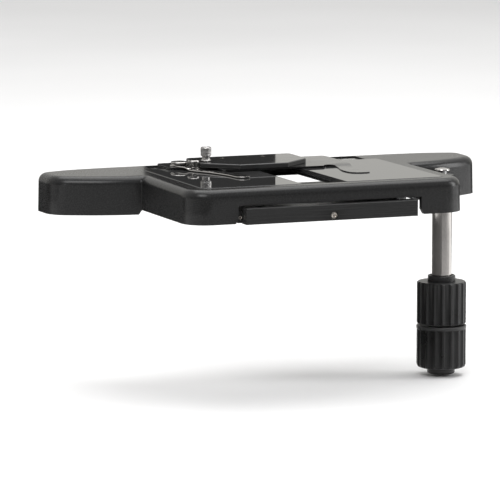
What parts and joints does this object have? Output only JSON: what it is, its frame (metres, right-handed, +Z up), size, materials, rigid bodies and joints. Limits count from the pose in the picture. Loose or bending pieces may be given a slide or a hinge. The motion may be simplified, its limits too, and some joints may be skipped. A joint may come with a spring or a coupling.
{
  "type": "mechanical microscope stage",
  "caption": "T-shaped low two-axis microscope stage: slide holder with sprung finger, light slot, ball-rail base, and coaxial fluted knobs hanging on a tube at the right.",
  "frame": {"origin": "on the optical axis, in the mount face under the base plate", "axes": "+X to the operator's right, +Y towards the microscope's column, +Z up along the optical axis"},
  "size_m": [0.2518, 0.122, 0.126],
  "materials": {
    "body_black": "fine satin moulded",
    "plate_gloss": "polished black hard coating",
    "black_anodised": "black anodised, finely machined",
    "rail_steel": "ground",
    "polished_steel": "polished",
    "satin_steel": "satin turned",
    "brass": "machined",
    "knob_black": "semi-gloss moulded",
    "holder_black": "semi-gloss black",
    "belt_rubber": "matt",
    "screw_steel": "dark plated",
    "thumb_dark": "knurled, dark nickel"
  },
  "bodies": {
    "base": {"base_plate": "black_anodised", "front_bar": "black_anodised", "front_bar_screw": "screw_steel", "base_end_screws": "screw_steel", "left_fixed_rail": "rail_steel", "right_fixed_rail": "rail_steel", "fixed_rail_screws": "screw_steel", "y_rack": "rail_steel", "y_rack_screws": "screw_steel"},
    "upper_stage": {"stage_body": "body_black", "top_plate": "plate_gloss", "left_moving_rail": "rail_steel", "right_moving_rail": "rail_steel", "moving_rail_screws": "screw_steel", "x_guide": "rail_steel", "x_guide_screws": "screw_steel", "drive_bracket": "black_anodised", "bracket_screws": "screw_steel", "upper_bush": "brass", "lower_bush": "brass", "pinion_pin": "rail_steel", "idler_pins": "rail_steel", "y_belt": "belt_rubber", "x_belt": "belt_rubber", "left_wing_cover": "body_black", "right_wing_cover": "body_black", "cover_screws": "screw_steel"},
    "left_cage": {"left_ball_cage": "brass", "left_balls": "polished_steel"},
    "right_cage": {"right_ball_cage": "brass", "right_balls": "polished_steel"},
    "transfer_pinion": {"transfer_pinion": "rail_steel"},
    "y_drive": {"y_tube": "satin_steel", "y_pulley": "knob_black", "tube_clip": "polished_steel", "y_collar": "knob_black", "y_knob": "knob_black"},
    "x_drive": {"x_shaft": "rail_steel", "x_pulley": "knob_black", "x_knob": "knob_black", "x_knob_cap": "knob_black", "shaft_crown": "polished_steel"},
    "left_idler": {"left_idler": "knob_black"},
    "front_idler": {"front_idler": "knob_black"},
    "rear_idler": {"rear_idler": "knob_black"},
    "x_carriage": {"x_carriage": "black_anodised", "belt_clamp": "rail_steel", "slide_holder": "holder_black", "holder_block": "holder_black", "holder_screws": "screw_steel", "pivot_screw": "polished_steel", "spring_pin": "polished_steel", "finger_spring": "polished_steel"},
    "spring_finger": {"spring_finger": "polished_steel"},
    "thumb_screw": {"thumb_screw": "thumb_dark"}
  },
  "joints": [
    {"name": "y_slide", "type": "slide", "parent": "base", "child": "upper_stage", "axis": [0, 1, 0], "range_m": [-0.0367, 0.0173]},
    {"name": "left_cage_roll", "type": "slide", "parent": "base", "child": "left_cage", "axis": [0, 1, 0], "range_m": [-0.01836, 0.00866]},
    {"name": "right_cage_roll", "type": "slide", "parent": "base", "child": "right_cage", "axis": [0, 1, 0], "range_m": [-0.01836, 0.00866]},
    {"name": "pinion_spin", "type": "hinge", "parent": "upper_stage", "child": "transfer_pinion", "pos_m": [0.05795, 0.005, 0], "axis": [0, 0, 1], "range_deg": [-292.1, 137.72]},
    {"name": "y_knob_turn", "type": "hinge", "parent": "upper_stage", "child": "y_drive", "pos_m": [0.088, 0.005, 0], "axis": [0, 0, 1], "range_deg": [-350.51, 165.25]},
    {"name": "x_slide", "type": "slide", "parent": "upper_stage", "child": "x_carriage", "axis": [1, 0, 0], "range_m": [-0.0295, 0.0485]},
    {"name": "x_knob_turn", "type": "hinge", "parent": "upper_stage", "child": "x_drive", "pos_m": [0.088, 0.005, 0], "axis": [0, 0, 1], "range_deg": [-307.36, 505.29]},
    {"name": "left_idler_spin", "type": "hinge", "parent": "upper_stage", "child": "left_idler", "pos_m": [-0.068, 0.0595, 0], "axis": [0, 0, 1], "range_deg": [-338.1, 555.82]},
    {"name": "front_idler_spin", "type": "hinge", "parent": "upper_stage", "child": "front_idler", "pos_m": [0.0775, 0.0495, 0], "axis": [0, 0, 1], "range_deg": [-555.82, 338.1]},
    {"name": "rear_idler_spin", "type": "hinge", "parent": "upper_stage", "child": "rear_idler", "pos_m": [0.0885, 0.0595, 0], "axis": [0, 0, 1], "range_deg": [-338.1, 555.82]},
    {"name": "finger_pivot", "type": "hinge", "parent": "x_carriage", "child": "spring_finger", "pos_m": [-0.0484, 0.0495, 0.0229], "axis": [0, 0, 1], "range_deg": [-25, 0], "stiffness_Nm_per_rad": 0.05, "springref_deg": 17.19},
    {"name": "thumb_screw_turn", "type": "hinge", "parent": "x_carriage", "child": "thumb_screw", "pos_m": [-0.035, 0.044, 0.0248], "axis": [0, 0, 1], "range_deg": [0, 720]}
  ],
  "couplings": [
    {"joint": "left_cage_roll", "follows": "y_slide", "ratio": 0.5},
    {"joint": "right_cage_roll", "follows": "y_slide", "ratio": 0.5},
    {"joint": "pinion_spin", "follows": "y_slide", "rad_per_m": 138.89},
    {"joint": "y_knob_turn", "follows": "y_slide", "rad_per_m": 166.67},
    {"joint": "x_knob_turn", "follows": "x_slide", "rad_per_m": 181.82},
    {"joint": "left_idler_spin", "follows": "x_slide", "rad_per_m": 200},
    {"joint": "front_idler_spin", "follows": "x_slide", "rad_per_m": -200},
    {"joint": "rear_idler_spin", "follows": "x_slide", "rad_per_m": 200}
  ]
}
